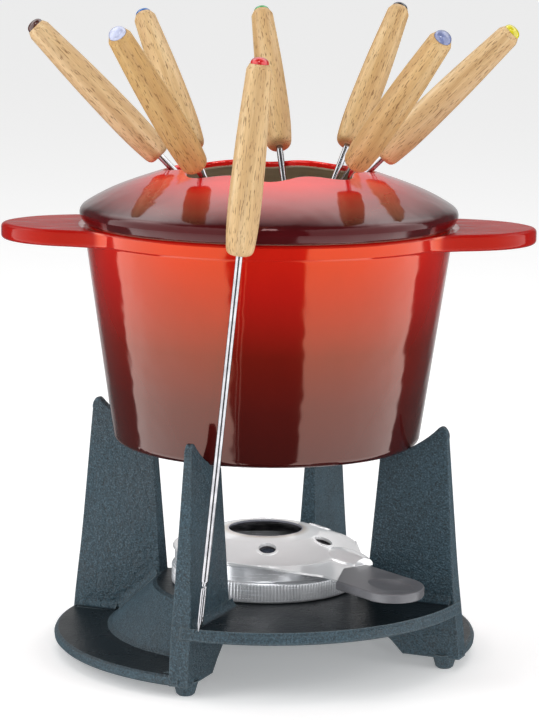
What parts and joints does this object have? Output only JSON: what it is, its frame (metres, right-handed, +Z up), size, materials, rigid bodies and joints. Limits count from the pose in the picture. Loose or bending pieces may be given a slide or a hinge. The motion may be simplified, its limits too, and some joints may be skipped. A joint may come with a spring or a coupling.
{
  "type": "fondue pot set",
  "caption": "Enamelled cast-iron fondue pot with splash guard and colour-capped forks over a spirit burner, on a black finned cast-iron stand.",
  "frame": {"origin": "point on the table under the pot axis", "axes": "+Z up, +X towards the right handle tab, -Y towards the front"},
  "size_m": [0.262, 0.2218, 0.3182],
  "materials": {
    "stand_iron": "fine matt black enamel over sand-cast grain",
    "red_enamel": "glossy red vitreous enamel, darker towards the foot, beige inside",
    "burner_steel": "satin stainless steel",
    "polished_steel": "mirror-polished stainless steel",
    "can_aluminium": "plain drawn tin",
    "set_fuel": "clear set gel",
    "black_grip": "satin moulded black",
    "fork_steel": "polished stainless wire",
    "handle_wood": "oiled pale wood with short dark pores",
    "cap_brown": "glossy colour cap",
    "cap_white": "glossy colour cap",
    "cap_blue": "glossy colour cap",
    "cap_green": "glossy colour cap",
    "cap_black": "glossy colour cap",
    "cap_grey": "glossy colour cap",
    "cap_yellow": "glossy colour cap",
    "cap_red": "glossy colour cap"
  },
  "bodies": {
    "stand": {"stand_casting": "stand_iron"},
    "pot": {"pot_body": "red_enamel"},
    "splash_guard": {"splash_guard": "red_enamel"},
    "burner": {"burner_cup": "burner_steel", "fuel_can": "can_aluminium", "fuel_gel": "set_fuel", "burner_air_plate": "burner_steel"},
    "regulator": {"regulator_cover": "polished_steel", "regulator_grip": "black_grip", "grip_rivets": "burner_steel"},
    "fork_brown": {"fork_brown_shaft": "fork_steel", "fork_brown_handle": "handle_wood", "fork_brown_cap": "cap_brown"},
    "fork_white": {"fork_white_shaft": "fork_steel", "fork_white_handle": "handle_wood", "fork_white_cap": "cap_white"},
    "fork_blue": {"fork_blue_shaft": "fork_steel", "fork_blue_handle": "handle_wood", "fork_blue_cap": "cap_blue"},
    "fork_green": {"fork_green_shaft": "fork_steel", "fork_green_handle": "handle_wood", "fork_green_cap": "cap_green"},
    "fork_black": {"fork_black_shaft": "fork_steel", "fork_black_handle": "handle_wood", "fork_black_cap": "cap_black"},
    "fork_grey": {"fork_grey_shaft": "fork_steel", "fork_grey_handle": "handle_wood", "fork_grey_cap": "cap_grey"},
    "fork_yellow": {"fork_yellow_shaft": "fork_steel", "fork_yellow_handle": "handle_wood", "fork_yellow_cap": "cap_yellow"},
    "fork_red": {"fork_red_shaft": "fork_steel", "fork_red_handle": "handle_wood", "fork_red_cap": "cap_red"}
  },
  "joints": [
    {"name": "pot_lift", "type": "slide", "parent": "stand", "child": "pot", "axis": [0, 0, 1], "range_m": [0, 0.12]},
    {"name": "guard_lift", "type": "slide", "parent": "pot", "child": "splash_guard", "axis": [0, 0, 1], "range_m": [0, 0.12]},
    {"name": "burner_lift", "type": "slide", "parent": "stand", "child": "burner", "axis": [0, 0, 1], "range_m": [0, 0.03]},
    {"name": "regulator_turn", "type": "hinge", "parent": "burner", "child": "regulator", "pos_m": [0, 0, 0.0512], "axis": [0, 0, 1], "range_deg": [-30, 0]},
    {"name": "fork_brown_pull", "type": "slide", "parent": "splash_guard", "child": "fork_brown", "axis": [-0.6994, 0.0195, 0.7145], "range_m": [0, 0.175]},
    {"name": "fork_white_pull", "type": "slide", "parent": "splash_guard", "child": "fork_white", "axis": [-0.4001, -0.5427, 0.7385], "range_m": [0, 0.175]},
    {"name": "fork_blue_pull", "type": "slide", "parent": "splash_guard", "child": "fork_blue", "axis": [-0.3173, 0.5993, 0.7349], "range_m": [0, 0.175]},
    {"name": "fork_green_pull", "type": "slide", "parent": "splash_guard", "child": "fork_green", "axis": [-0.1135, 0.6502, 0.7513], "range_m": [0, 0.175]},
    {"name": "fork_black_pull", "type": "slide", "parent": "splash_guard", "child": "fork_black", "axis": [0.3116, 0.5668, 0.7627], "range_m": [0, 0.175]},
    {"name": "fork_grey_pull", "type": "slide", "parent": "splash_guard", "child": "fork_grey", "axis": [0.4311, -0.5479, 0.7169], "range_m": [0, 0.175]},
    {"name": "fork_yellow_pull", "type": "slide", "parent": "splash_guard", "child": "fork_yellow", "axis": [0.6978, -0.0882, 0.7108], "range_m": [0, 0.175]},
    {"name": "fork_red_pull", "type": "slide", "parent": "stand", "child": "fork_red", "axis": [0.0952, -0.0209, 0.9952], "range_m": [0, 0.12]}
  ]
}
